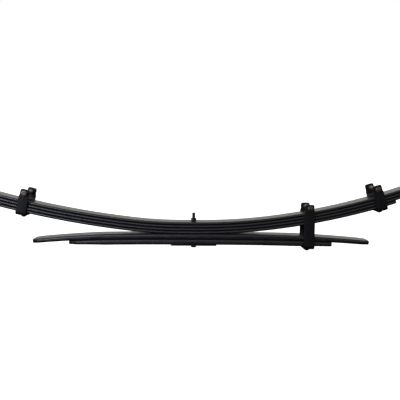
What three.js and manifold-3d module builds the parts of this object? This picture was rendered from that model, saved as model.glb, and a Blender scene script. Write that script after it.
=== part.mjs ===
// Two-stage leaf spring for a light four-wheel-drive vehicle, with rolled eyes, helper leaves and
// rebound clips. Millimetres, +Z up, +X towards the rear (shackle) eye, +Y across the leaves.
// The origin is on the centre bolt's axis, in the plane where the seat plate rests on the axle.

import * as THREE from 'three';
import { mergeVertices } from 'three/addons/utils/BufferGeometryUtils.js';
import Module from 'manifold-3d';

const wasm = await Module();
wasm.setup();

// ---------------------------------------------------------------- driving dimensions

// Leaves
const leafWidth = 60;
const leafThickness = 7;
const leafGap = 0.4; // between the leaves of the main pack
const helperThickness = 13;
const restGap = 0.3; // between any other two pieces that touch on the real spring

// Free shape of the main leaf's top face: flat seat, then two arcs, then the eye
const frontSeatHalf = 30;
const frontInnerRadius = 1100;
const frontInnerTurn = THREE.MathUtils.degToRad(6.5);
const frontOuterRadius = 2355;
const rearSeatHalf = 15;
const rearInnerRadius = 1350;
const rearInnerTurn = THREE.MathUtils.degToRad(6.6);
const rearOuterRadius = 1670;

// Lengths from the centre bolt, measured along the leaf, and how far short of the eyes leaves stop
const frontEyeReach = 640;
const rearEyeReach = 712;
const secondLeafRearSetBack = 6;
const thirdLeafFrontSetBack = 84;
const thirdLeafRearSetBack = 100;
const fourthLeafFrontReach = 473;
const fourthLeafRearReach = 496;
const upperHelperFrontReach = 394;
const upperHelperRearReach = 432;
const lowerHelperFrontReach = 306;
const lowerHelperRearReach = 341;

// Helper leaves: bent slightly down, more so towards the tips, and thinned there
const helperSeatHalf = 60;
const helperInnerRadius = 8700;
const helperInnerLength = 140;
const helperFrontOuterRadius = 2430;
const helperRearOuterRadius = 3750;
const upperHelperTaperLength = 165;
const upperHelperTaperDepth = 2.6;
const lowerHelperTaperLength = 90;
const lowerHelperFrontTaperDepth = 4;
const lowerHelperRearTaperDepth = 3.5;

// Leaf tips in plan: the corners are cut off
const packTipCut = 6; // across and along
const helperCutAcross = 9;
const upperHelperFrontCutAlong = 14;
const upperHelperRearCutAlong = 20;
const lowerHelperFrontCutAlong = 22;
const lowerHelperRearCutAlong = 5;

// Eyes, bushes and crush tubes
const frontEyeBore = 40;
const rearEyeBore = 34;
const eyeTailGap = 1.5; // between the rolled tail and the leaf
const wrapTurn = THREE.MathUtils.degToRad(78); // second leaf's wrap under the front eye
const bushClearance = 0.3; // radial, bush to eye and bush to crush tube
const bushFlangeThickness = 5;
const bushFlangeInset = 1.5; // flange edge inside the eye's outer wall
const frontTubeBore = 16;
const frontTubeOuter = 25;
const rearTubeBore = 14;
const rearTubeOuter = 22;
const tubeStandOut = 1.2; // crush tube past the bush flange, each side

// Seat plate and centre bolt
const seatPlateLength = 112;
const seatPlateThickness = 2;
const centreBoltDiameter = 8;
const boltHoleClearance = 0.4; // radial, every bolt and rivet hole
const centreHeadDiameter = 14;
const centreHeadHeight = 8;
const centreHeadChamfer = 0.5;
const headSeatDiameter = 18; // counterbore in the seat plate for the bolt's head
const headSeatDepth = 1;
const nutSeatDiameter = 18; // dimple that hot punching leaves around the main leaf's hole
const nutSeatDepth = 0.3;
const centreNutHeight = 7;
const centreStudLength = 13.5; // thread above the nut
const boltEndChamfer = 1;

// Rebound clips
const strapThickness = 5;
const strapBendRadius = 3; // inside the bend
const outerStrapWidth = 25;
const outerEarWidth = 22;
const outerEarCrown = 10; // bolt axis to the top of the ear
const earCornerRadius = 4;
const outerShoulderRise = 9; // where the strap starts to narrow, above the main leaf
const shoulderHeight = 5;
const outerBoltRise = 18; // bolt axis above the main leaf
const frontClipSetBack = 57; // clip's middle from the fourth leaf's tip
const rearClipSetBack = 39;
const longStrapWidth = 26;
const longEarWidth = 22;
const longEarCrown = 9;
const longBoltRise = 10;
const longClipSetBack = 57; // clip's middle from the lower helper's tip
const longStrapSideGap = 0.5; // strap to the leaves' edges
const linerThickness = 2;
const linerWidth = 24;
const linerRise = 4; // liner top above the main leaf
const clipBoltDiameter = 8;
const hexAcrossFlats = 13;
const clipHeadHeight = 5.3;
const clipNutHeight = 6.8;
const clipBoltStandOut = 2.5; // thread past the nut
const spacerDiameter = 12;
const rivetDiameter = 9;
const rivetHeadDiameter = 16;
const rivetHeadHeight = 7;

// Anti-friction buttons in the leaf tips
const buttonHeadDiameter = 26;
const buttonHeadThickness = 2;
const buttonStemDiameter = 10;
const buttonSetBack = 32; // button centre from the leaf's tip

// Faceting
const stationStep = 36; // longest straight piece of a leaf's line
const stationTurn = THREE.MathUtils.degToRad(15); // largest turn between stations
const roundSides = 24;
const smallSides = 16;
const bendSides = 6; // straight pieces in each rounded corner of an outline
const cutPast = 1; // how far a cutter runs past the face it cuts

// ---------------------------------------------------------------- heights of the stack

const lowerHelperBottom = seatPlateThickness + restGap;
const helperJoint = lowerHelperBottom + helperThickness + restGap / 2;
const upperHelperTop = helperJoint + restGap / 2 + helperThickness;
const leafPitch = leafThickness + leafGap;
const mainLeafCount = 4;
const packDepth = mainLeafCount * leafThickness + (mainLeafCount - 1) * leafGap;
const packTop = upperHelperTop + restGap + packDepth;

// ---------------------------------------------------------------- lines that the leaves follow

// A line leaves the centre bolt level and follows its arcs outwards. A positive radius bends it up.
function follow(arcs, distance) {
  const point = { x: 0, z: 0, angle: 0 };
  let left = distance;
  for (const arc of arcs) {
    const run = Math.min(left, arc.length);
    if (Number.isFinite(arc.radius)) {
      const next = point.angle + run / arc.radius;
      point.x += arc.radius * (Math.sin(next) - Math.sin(point.angle));
      point.z += arc.radius * (Math.cos(point.angle) - Math.cos(next));
      point.angle = next;
    } else {
      point.x += run * Math.cos(point.angle);
      point.z += run * Math.sin(point.angle);
    }
    left -= run;
    if (left <= 0) break;
  }
  return point;
}

// Distances at which one side of a line gets a station, up to its reach
function stationsOf(arcs, reach) {
  const marks = [];
  let start = 0;
  for (const arc of arcs) {
    const turn = Number.isFinite(arc.radius) ? arc.length / Math.abs(arc.radius) : 0;
    const steps = Math.ceil(Math.max(arc.length / stationStep, turn / stationTurn));
    for (let i = 1; i <= steps; i += 1) marks.push(start + (arc.length * i) / steps);
    start += arc.length;
  }
  const inside = marks.filter((mark) => mark < reach - cutPast);
  return [...inside, reach];
}

// A whole line: front arcs run to -X, rear arcs to +X, from the given height
function makeLine(frontArcs, rearArcs, height) {
  const at = (s) => {
    const side = s < 0 ? -1 : 1;
    const point = follow(s < 0 ? frontArcs : rearArcs, Math.abs(s));
    return { x: side * point.x, z: height + point.z, angle: side * point.angle };
  };
  const stations = (frontReach, rearReach) => [
    ...stationsOf(frontArcs, frontReach).reverse().map((s) => -s),
    ...stationsOf(rearArcs, rearReach),
  ];
  return { at, stations };
}

// The station of a line whose X is given
function stationAtX(line, x) {
  let low = Math.min(0, 2 * x);
  let high = Math.max(0, 2 * x);
  for (let i = 0; i < 60; i += 1) {
    const middle = (low + high) / 2;
    if (line.at(middle).x < x) low = middle;
    else high = middle;
  }
  return line.at((low + high) / 2);
}

// A point at a signed distance from a line, square to it
function offsetPoint(station, offset) {
  const x = station.x - offset * Math.sin(station.angle);
  const z = station.z + offset * Math.cos(station.angle);
  return new THREE.Vector2(x, z);
}

// The rolled eye is the main leaf's line carried on at the bore's radius until its tail meets the leaf
function eyeTurn(bore) {
  const tailAngle = Math.acos((bore / 2 - eyeTailGap) / (bore / 2 + leafThickness));
  return 2 * Math.PI - tailAngle;
}

const frontEyeTurn = eyeTurn(frontEyeBore);
const rearEyeTurn = eyeTurn(rearEyeBore);
const frontInnerLength = frontInnerRadius * frontInnerTurn;
const rearInnerLength = rearInnerRadius * rearInnerTurn;
const mainLine = makeLine(
  [
    { radius: Infinity, length: frontSeatHalf },
    { radius: frontInnerRadius, length: frontInnerLength },
    { radius: frontOuterRadius, length: frontEyeReach - frontSeatHalf - frontInnerLength },
    { radius: frontEyeBore / 2, length: (frontEyeBore / 2) * frontEyeTurn },
  ],
  [
    { radius: Infinity, length: rearSeatHalf },
    { radius: rearInnerRadius, length: rearInnerLength },
    { radius: rearOuterRadius, length: rearEyeReach - rearSeatHalf - rearInnerLength },
    { radius: rearEyeBore / 2, length: (rearEyeBore / 2) * rearEyeTurn },
  ],
  packTop,
);
const secondLeafRearReach = rearEyeReach - secondLeafRearSetBack;
const thirdLeafFrontReach = frontEyeReach - thirdLeafFrontSetBack;
const thirdLeafRearReach = rearEyeReach - thirdLeafRearSetBack;
const frontClipReach = fourthLeafFrontReach - frontClipSetBack;
const rearClipReach = fourthLeafRearReach - rearClipSetBack;
const longClipReach = lowerHelperRearReach - longClipSetBack;
const frontTailReach = frontEyeReach + (frontEyeBore / 2) * frontEyeTurn;
const rearTailReach = rearEyeReach + (rearEyeBore / 2) * rearEyeTurn;
const frontWrapReach = frontEyeReach + (frontEyeBore / 2) * wrapTurn;

// ---------------------------------------------------------------- solids

function toSolid(geometry) {
  const bare = geometry.clone();
  bare.deleteAttribute('normal');
  bare.deleteAttribute('uv');
  const merged = mergeVertices(bare, 1e-4);
  const vertProperties = new Float32Array(merged.attributes.position.array);
  const triVerts = new Uint32Array(merged.index.array);
  return new wasm.Manifold(new wasm.Mesh({ numProp: 3, vertProperties, triVerts }));
}

function toGeometry(solid) {
  const mesh = solid.getMesh();
  const geometry = new THREE.BufferGeometry();
  geometry.setAttribute('position', new THREE.BufferAttribute(mesh.vertProperties, 3));
  geometry.setIndex(new THREE.BufferAttribute(mesh.triVerts, 1));
  return geometry;
}

function subtract(geometry, cutters) {
  const solid = cutters.reduce((body, cutter) => body.subtract(toSolid(cutter)), toSolid(geometry));
  return toGeometry(solid);
}

function intersect(first, second) {
  return toGeometry(toSolid(first).intersect(toSolid(second)));
}

function join(first, second) {
  return toGeometry(toSolid(first).add(toSolid(second)));
}

function extrude(shape, depth) {
  return new THREE.ExtrudeGeometry(shape, { depth, bevelEnabled: false, curveSegments: bendSides });
}

// An X-Z outline carried across the width, centred on Y
function acrossWidth(shape, width) {
  return extrude(shape, width).rotateX(Math.PI / 2).translate(0, width / 2, 0);
}

// A Y-Z outline carried along the leaf, centred on X
function alongLeaf(shape, length) {
  const basis = new THREE.Matrix4().makeBasis(
    new THREE.Vector3(0, 1, 0),
    new THREE.Vector3(0, 0, 1),
    new THREE.Vector3(1, 0, 0),
  );
  return extrude(shape, length).applyMatrix4(basis).translate(-length / 2, 0, 0);
}

// A rod on the Z axis between two heights
function uprightRod(radius, bottom, top, sides = smallSides) {
  const rod = new THREE.CylinderGeometry(radius, radius, top - bottom, sides);
  return rod.rotateX(Math.PI / 2).translate(0, 0, (bottom + top) / 2);
}

// A rod on the Y axis between two depths
function crossRod(radius, start, end, sides = smallSides) {
  const rod = new THREE.CylinderGeometry(radius, radius, end - start, sides);
  return rod.translate(0, (start + end) / 2, 0);
}

// A round piece on the Y axis from its closed half-section of [radius, Y] corners
function turned(corners, sides = roundSides) {
  const section = [...corners, corners[0]].map(([radius, y]) => new THREE.Vector2(radius, y));
  return new THREE.LatheGeometry(section, sides);
}

function tubeOnY(bore, outer, length) {
  const half = length / 2;
  return turned([[bore / 2, -half], [outer / 2, -half], [outer / 2, half], [bore / 2, half]]);
}

const holeRadius = (diameter) => diameter / 2 + boltHoleClearance;
const hexRadius = hexAcrossFlats / Math.sqrt(3);

// ---------------------------------------------------------------- materials

const blackPaint = { color: 0x1c1c1f, roughness: 0.42, metalness: 0.25 };
const dullZinc = { color: 0x6f665c, roughness: 0.45, metalness: 0.9 };
const blackPhosphate = { color: 0x131314, roughness: 0.6, metalness: 0.3 };
const bareSteel = { color: 0x9a9a98, roughness: 0.4, metalness: 0.95 };
const blackRubber = { color: 0x18181a, roughness: 0.8, metalness: 0 };
const paleNylon = { color: 0xcfcabb, roughness: 0.55, metalness: 0 };

function piece(name, geometry, finish) {
  const mesh = new THREE.Mesh(geometry, new THREE.MeshStandardMaterial(finish));
  mesh.name = name;
  return mesh;
}

// ---------------------------------------------------------------- leaves

// Side outline of a leaf between two offsets from its line, each a function of the station's distance
function leafOutline(line, frontReach, rearReach, topOffset, bottomOffset) {
  const distances = line.stations(frontReach, rearReach);
  const top = distances.map((s) => offsetPoint(line.at(s), topOffset(s)));
  const bottom = distances.map((s) => offsetPoint(line.at(s), bottomOffset(s)));
  return new THREE.Shape([...bottom, ...top.reverse()]);
}

// Plan outline with the four corners cut off, reaching from tip to tip
function planBlock(frontTip, rearTip, across, frontAlong, rearAlong) {
  const edge = leafWidth;
  const half = leafWidth / 2;
  const inner = half - across;
  const shape = new THREE.Shape();
  shape.moveTo(frontTip + frontAlong, -half);
  shape.lineTo(rearTip - rearAlong, -half);
  shape.lineTo(rearTip, -inner);
  shape.lineTo(rearTip + edge, -inner);
  shape.lineTo(rearTip + edge, inner);
  shape.lineTo(rearTip, inner);
  shape.lineTo(rearTip - rearAlong, half);
  shape.lineTo(frontTip + frontAlong, half);
  shape.lineTo(frontTip, inner);
  shape.lineTo(frontTip - edge, inner);
  shape.lineTo(frontTip - edge, -inner);
  shape.lineTo(frontTip, -inner);
  shape.closePath();
  const depth = 2 * (frontEyeReach + rearEyeReach);
  return extrude(shape, depth).translate(0, 0, -depth / 2);
}

function cutTips(geometry, line, frontReach, rearReach, offset, across, frontAlong, rearAlong) {
  const frontTip = offsetPoint(line.at(-frontReach), offset).x;
  const rearTip = offsetPoint(line.at(rearReach), offset).x;
  return intersect(geometry, planBlock(frontTip, rearTip, across, frontAlong, rearAlong));
}

// A cutter or a piece built on the Z axis, moved to a station of a line
function moveTo(geometry, station) {
  return geometry.rotateY(-station.angle).translate(station.x, 0, station.z);
}

const topOf = (index) => -index * leafPitch;
const bottomOf = (index) => topOf(index) - leafThickness;

// A leaf of the main pack, counted from the top, from its front reach to its rear reach
function packLeaf(index, frontReach, rearReach) {
  const outline = leafOutline(mainLine, frontReach, rearReach, () => topOf(index), () => bottomOf(index));
  return acrossWidth(outline, leafWidth);
}

const centreHole = uprightRod(holeRadius(centreBoltDiameter), -packTop, 2 * packTop);

// Button seats: a flat recess for the head and a hole for the stem, square to the leaf
function buttonSeat(index, reach) {
  const side = Math.sign(reach);
  const station = mainLine.at(reach - side * buttonSetBack);
  const recess = uprightRod(
    buttonHeadDiameter / 2 + restGap,
    topOf(index) - buttonHeadThickness - restGap,
    topOf(index) + leafGap / 2,
    roundSides,
  );
  const stemHole = uprightRod(holeRadius(buttonStemDiameter), bottomOf(index) - cutPast, topOf(index));
  return [moveTo(recess, station), moveTo(stemHole, station)];
}

const nutSeat = uprightRod(nutSeatDiameter / 2, packTop - nutSeatDepth, packTop + cutPast, roundSides);
const mainLeaf = subtract(packLeaf(0, frontTailReach, rearTailReach), [centreHole, nutSeat]);

const secondLeaf = subtract(packLeaf(1, frontWrapReach, secondLeafRearReach), [
  centreHole,
  ...buttonSeat(1, secondLeafRearReach),
]);

const thirdLeaf = subtract(
  cutTips(
    packLeaf(2, thirdLeafFrontReach, thirdLeafRearReach),
    mainLine, thirdLeafFrontReach, thirdLeafRearReach, topOf(2), packTipCut, packTipCut, packTipCut,
  ),
  [
    centreHole,
    ...buttonSeat(2, -thirdLeafFrontReach),
    ...buttonSeat(2, thirdLeafRearReach),
  ],
);

// The outer clips are riveted to the fourth leaf
function clipRivetHole(reach) {
  const hole = uprightRod(holeRadius(rivetDiameter), bottomOf(3) - strapThickness, topOf(3) + leafGap / 2);
  return moveTo(hole, mainLine.at(reach));
}

const fourthLeaf = subtract(
  cutTips(
    packLeaf(3, fourthLeafFrontReach, fourthLeafRearReach),
    mainLine, fourthLeafFrontReach, fourthLeafRearReach, topOf(3), packTipCut, packTipCut, packTipCut,
  ),
  [
    centreHole,
    clipRivetHole(-frontClipReach),
    clipRivetHole(rearClipReach),
  ],
);

const upperHelper = {
  frontReach: upperHelperFrontReach,
  rearReach: upperHelperRearReach,
  taperLength: upperHelperTaperLength,
  frontDepth: upperHelperTaperDepth,
  rearDepth: upperHelperTaperDepth,
};
const lowerHelper = {
  frontReach: lowerHelperFrontReach,
  rearReach: lowerHelperRearReach,
  taperLength: lowerHelperTaperLength,
  frontDepth: lowerHelperFrontTaperDepth,
  rearDepth: lowerHelperRearTaperDepth,
};

// How far a helper's face has drawn in towards its tip: nothing up to the taper, then evenly
function taper(s, helper) {
  const reach = s < 0 ? helper.frontReach : helper.rearReach;
  const depth = s < 0 ? helper.frontDepth : helper.rearDepth;
  const into = Math.max(0, Math.abs(s) - (reach - helper.taperLength));
  return (depth * into) / helper.taperLength;
}

// The line between the two helpers, with a station where this helper's taper starts
function helperLineFor(helper) {
  const side = (reach, outerRadius) => [
    { radius: Infinity, length: helperSeatHalf },
    { radius: -helperInnerRadius, length: helperInnerLength },
    { radius: -outerRadius, length: reach - helperSeatHalf - helperInnerLength - helper.taperLength },
    { radius: -outerRadius, length: helper.taperLength },
  ];
  return makeLine(
    side(helper.frontReach, helperFrontOuterRadius),
    side(helper.rearReach, helperRearOuterRadius),
    helperJoint,
  );
}

const upperHelperLine = helperLineFor(upperHelper);
const upperHelperOutline = leafOutline(
  upperHelperLine,
  upperHelperFrontReach,
  upperHelperRearReach,
  (s) => restGap / 2 + helperThickness - taper(s, upperHelper),
  () => restGap / 2,
);
const upperHelperLeaf = subtract(
  cutTips(
    acrossWidth(upperHelperOutline, leafWidth),
    upperHelperLine, upperHelperFrontReach, upperHelperRearReach, 0,
    helperCutAcross, upperHelperFrontCutAlong, upperHelperRearCutAlong,
  ),
  [centreHole],
);

// The long clip stands upright, so it is placed by the X of its station on the main leaf
const longClipX = mainLine.at(longClipReach).x;
const longRivetHole = uprightRod(
  holeRadius(rivetDiameter), -strapThickness - rivetHeadHeight, helperJoint + restGap / 4,
).translate(longClipX, 0, 0);

const lowerHelperLine = helperLineFor(lowerHelper);
const lowerHelperOutline = leafOutline(
  lowerHelperLine,
  lowerHelperFrontReach,
  lowerHelperRearReach,
  () => -restGap / 2,
  (s) => -restGap / 2 - helperThickness + taper(s, lowerHelper),
);
const lowerHelperLeaf = subtract(
  cutTips(
    acrossWidth(lowerHelperOutline, leafWidth),
    lowerHelperLine, lowerHelperFrontReach, lowerHelperRearReach, 0,
    helperCutAcross, lowerHelperFrontCutAlong, lowerHelperRearCutAlong,
  ),
  [centreHole, longRivetHole],
);

const leaves = new THREE.Group();
leaves.add(
  piece('main_leaf', mainLeaf, blackPaint),
  piece('second_leaf', secondLeaf, blackPaint),
  piece('third_leaf', thirdLeaf, blackPaint),
  piece('fourth_leaf', fourthLeaf, blackPaint),
  piece('upper_helper_leaf', upperHelperLeaf, blackPaint),
  piece('lower_helper_leaf', lowerHelperLeaf, blackPaint),
);

// Anti-friction buttons: a disc in the recess with a stem through the leaf
function frictionButton(name, index, reach) {
  const station = mainLine.at(reach - Math.sign(reach) * buttonSetBack);
  const headBottom = topOf(index) - buttonHeadThickness;
  const head = uprightRod(buttonHeadDiameter / 2, headBottom, topOf(index), roundSides);
  const stem = uprightRod(buttonStemDiameter / 2, bottomOf(index), headBottom + buttonHeadThickness / 2);
  const button = piece(name, join(head, stem), paleNylon);
  button.position.set(station.x, 0, station.z);
  button.rotation.y = -station.angle;
  return button;
}

leaves.add(
  frictionButton('friction_button_second_rear', 1, secondLeafRearReach),
  frictionButton('friction_button_third_front', 2, -thirdLeafFrontReach),
  frictionButton('friction_button_third_rear', 2, thirdLeafRearReach),
);

// ---------------------------------------------------------------- seat plate and centre bolt

const headSeat = uprightRod(headSeatDiameter / 2, -cutPast, headSeatDepth, roundSides);
const seatPlate = subtract(
  new THREE.BoxGeometry(seatPlateLength, leafWidth, seatPlateThickness)
    .translate(0, 0, seatPlateThickness / 2),
  [centreHole, headSeat],
);

const centreNutBottom = packTop + restGap;
const centreNutTop = centreNutBottom + centreNutHeight;
const centreBoltTop = centreNutTop + centreStudLength;
const centreRadius = centreBoltDiameter / 2;
const headRadius = centreHeadDiameter / 2;
const centreHeadTop = headSeatDepth - restGap;
const centreHeadBottom = centreHeadTop - centreHeadHeight;
const centreBolt = turned(
  [
    [0, centreHeadBottom],
    [headRadius - centreHeadChamfer, centreHeadBottom],
    [headRadius, centreHeadBottom + centreHeadChamfer],
    [headRadius, centreHeadTop],
    [centreRadius, centreHeadTop],
    [centreRadius, centreBoltTop - boltEndChamfer],
    [centreRadius - boltEndChamfer, centreBoltTop],
    [0, centreBoltTop],
  ],
  roundSides,
).rotateX(Math.PI / 2);

function hexNut(height, hole) {
  const body = new THREE.CylinderGeometry(hexRadius, hexRadius, height, 6).rotateX(Math.PI / 2);
  return subtract(body, [uprightRod(hole, -height, height)]);
}

const centreNut = hexNut(centreNutHeight, centreRadius + restGap)
  .translate(0, 0, centreNutBottom + centreNutHeight / 2);

const seat = new THREE.Group();
seat.add(
  piece('seat_plate', seatPlate, blackPaint),
  piece('centre_bolt', centreBolt, blackPhosphate),
  piece('centre_nut', centreNut, blackPhosphate),
);

// ---------------------------------------------------------------- eye bushes and crush tubes

// One half of a flanged bush: barrel inside the eye, flange against the leaf's edge.
// side is -1 on the near (-Y) half and 1 on the far half.
function bushHalf(name, bore, tubeOuter, side) {
  const inner = tubeOuter / 2 + bushClearance;
  const barrel = bore / 2 - bushClearance;
  const flange = bore / 2 + leafThickness - bushFlangeInset;
  const flangeStart = leafWidth / 2 + restGap;
  const flangeEnd = flangeStart + bushFlangeThickness;
  const body = turned([
    [inner, restGap / 2],
    [barrel, restGap / 2],
    [barrel, flangeStart],
    [flange, flangeStart],
    [flange, flangeEnd],
    [inner, flangeEnd],
  ]);
  if (side < 0) body.rotateX(Math.PI);
  return piece(name, body, blackRubber);
}

function eyeFittings(end, reach, bore, tubeBore, tubeOuter) {
  const station = mainLine.at(reach);
  const centre = offsetPoint(station, bore / 2);
  const tubeLength = leafWidth + 2 * (restGap + bushFlangeThickness + tubeStandOut);
  const group = new THREE.Group();
  group.position.set(centre.x, 0, centre.y);
  group.add(
    bushHalf(`${end}_bush_near`, bore, tubeOuter, -1),
    bushHalf(`${end}_bush_far`, bore, tubeOuter, 1),
    piece(`${end}_crush_tube`, tubeOnY(tubeBore, tubeOuter, tubeLength), bareSteel),
  );
  return group;
}

const frontEye = eyeFittings('front', -frontEyeReach, frontEyeBore, frontTubeBore, frontTubeOuter);
const rearEye = eyeFittings('rear', rearEyeReach, rearEyeBore, rearTubeBore, rearTubeOuter);

// ---------------------------------------------------------------- rebound clips

// The U of a strap or liner seen along the leaf: inner half-width, floor height, wall and top
function uSection(innerHalf, floor, wall, top, bend) {
  const outerHalf = innerHalf + wall;
  const outerBend = bend + wall;
  const under = floor - wall;
  const shape = new THREE.Shape();
  shape.moveTo(-outerHalf, top);
  shape.lineTo(-outerHalf, under + outerBend);
  shape.absarc(-outerHalf + outerBend, under + outerBend, outerBend, Math.PI, 1.5 * Math.PI);
  shape.lineTo(outerHalf - outerBend, under);
  shape.absarc(outerHalf - outerBend, under + outerBend, outerBend, 1.5 * Math.PI, 2 * Math.PI);
  shape.lineTo(outerHalf, top);
  shape.lineTo(innerHalf, top);
  shape.lineTo(innerHalf, floor + bend);
  shape.absarc(innerHalf - bend, floor + bend, bend, 2 * Math.PI, 1.5 * Math.PI, true);
  shape.lineTo(-innerHalf + bend, floor);
  shape.absarc(-innerHalf + bend, floor + bend, bend, 1.5 * Math.PI, Math.PI, true);
  shape.closePath();
  return shape;
}

// The strap's arms seen from the side: full width, shoulders, then an ear with rounded corners
function armOutline(clip) {
  const half = clip.width / 2;
  const ear = clip.earWidth / 2;
  const round = ear - earCornerRadius;
  const roundHeight = clip.boltHeight + clip.crown - earCornerRadius;
  const shape = new THREE.Shape();
  shape.moveTo(-half, clip.floor - 2 * strapThickness);
  shape.lineTo(half, clip.floor - 2 * strapThickness);
  shape.lineTo(half, clip.shoulder);
  shape.lineTo(ear, clip.shoulder + shoulderHeight);
  shape.absarc(round, roundHeight, earCornerRadius, 0, Math.PI / 2);
  shape.absarc(-round, roundHeight, earCornerRadius, Math.PI / 2, Math.PI);
  shape.lineTo(-ear, clip.shoulder + shoulderHeight);
  shape.lineTo(-half, clip.shoulder);
  shape.closePath();
  return shape;
}

function rivetGeometry(headTop, shankTop) {
  const head = rivetHeadDiameter / 2;
  const dome = [0, 1, 2, 3, 4].map((i) => {
    const angle = (i * Math.PI) / 8;
    return [head * Math.sin(angle), headTop - rivetHeadHeight * Math.cos(angle)];
  });
  const shank = [[rivetDiameter / 2, headTop], [rivetDiameter / 2, shankTop], [0, shankTop]];
  return turned([...dome, ...shank], smallSides).rotateX(Math.PI / 2);
}

// A clip in its own frame: X along the leaf, Z square to it, the origin on the main leaf's top face
function clipGroup(end, clip) {
  const armInner = clip.innerHalf;
  const armOuter = armInner + strapThickness;
  const boltHole = crossRod(holeRadius(clipBoltDiameter), -2 * armOuter, 2 * armOuter)
    .translate(0, 0, clip.boltHeight);
  const strapTop = clip.boltHeight + clip.crown + cutPast;
  const section = uSection(armInner, clip.floor, strapThickness, strapTop, strapBendRadius);
  const rivetHole = uprightRod(
    holeRadius(rivetDiameter), clip.floor - 2 * strapThickness, clip.floor + cutPast,
  );
  const strap = subtract(
    intersect(alongLeaf(section, clip.width), acrossWidth(armOutline(clip), 4 * armOuter)),
    [boltHole, rivetHole],
  );

  const nutFace = armOuter + restGap;
  const head = crossRod(hexRadius, nutFace, nutFace + clipHeadHeight, 6);
  const shank = crossRod(
    clipBoltDiameter / 2, -nutFace - clipNutHeight - clipBoltStandOut, nutFace + clipHeadHeight / 2,
  );
  const nutBody = crossRod(hexRadius, -nutFace - clipNutHeight, -nutFace, 6);
  const nutHole = crossRod(clipBoltDiameter / 2 + restGap, -nutFace - 2 * clipNutHeight, 0);
  const spacer = tubeOnY(clipBoltDiameter + 2 * restGap, spacerDiameter, 2 * (armInner - restGap));

  const bolted = new THREE.Group();
  bolted.position.z = clip.boltHeight;
  bolted.add(
    piece(`${end}_clip_bolt`, join(head, shank), dullZinc),
    piece(`${end}_clip_nut`, subtract(nutBody, [nutHole]), dullZinc),
    piece(`${end}_clip_spacer`, spacer, dullZinc),
  );

  const headTop = clip.floor - strapThickness - restGap;
  const group = new THREE.Group();
  group.add(
    piece(`${end}_clip_strap`, strap, blackPaint),
    piece(`${end}_clip_rivet`, rivetGeometry(headTop, clip.rivetTop), blackPaint),
    bolted,
  );
  return group;
}

// The outer clips hold the four main leaves, with a liner between strap and leaves
function outerClip(end, reach) {
  const station = mainLine.at(reach);
  const leafUnder = bottomOf(mainLeafCount - 1);
  const linerInner = leafWidth / 2 + restGap;
  const linerFloor = leafUnder - restGap;
  const group = clipGroup(end, {
    width: outerStrapWidth,
    earWidth: outerEarWidth,
    crown: outerEarCrown,
    shoulder: outerShoulderRise,
    boltHeight: outerBoltRise,
    innerHalf: linerInner + linerThickness + restGap,
    floor: linerFloor - linerThickness - restGap,
    rivetTop: topOf(mainLeafCount - 1),
  });
  const rivetHole = uprightRod(
    holeRadius(rivetDiameter), linerFloor - 2 * linerThickness, linerFloor + cutPast,
  );
  const section = uSection(linerInner, linerFloor, linerThickness, linerRise, restGap);
  const liner = subtract(alongLeaf(section, linerWidth), [rivetHole]);
  group.add(piece(`${end}_clip_liner`, liner, blackRubber));
  group.position.set(station.x, 0, station.z);
  group.rotation.y = -station.angle;
  return group;
}

// The long clip holds the main leaves and both helpers, and stands upright on the lower helper
function longClip() {
  const mainTop = stationAtX(mainLine, longClipX).z;
  const edges = [-1, 1].map((side) => longClipX + (side * longStrapWidth) / 2);
  const under = edges.map((x) => {
    const station = stationAtX(lowerHelperLine, x);
    return offsetPoint(station, -restGap / 2 - helperThickness).y;
  });
  const group = clipGroup('long', {
    width: longStrapWidth,
    earWidth: longEarWidth,
    crown: longEarCrown,
    shoulder: 0,
    boltHeight: longBoltRise,
    innerHalf: leafWidth / 2 + longStrapSideGap,
    floor: Math.min(...under) - restGap - mainTop,
    rivetTop: stationAtX(lowerHelperLine, longClipX).z - restGap - mainTop,
  });
  group.position.set(longClipX, 0, mainTop);
  return group;
}

// ---------------------------------------------------------------- assembly

const spring = new THREE.Group();
spring.add(
  leaves,
  seat,
  frontEye,
  rearEye,
  outerClip('front', -frontClipReach),
  outerClip('rear', rearClipReach),
  longClip(),
);

export default spring;
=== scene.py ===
import bmesh
import bpy
import numpy as np
from mathutils import Matrix, Vector


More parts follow.
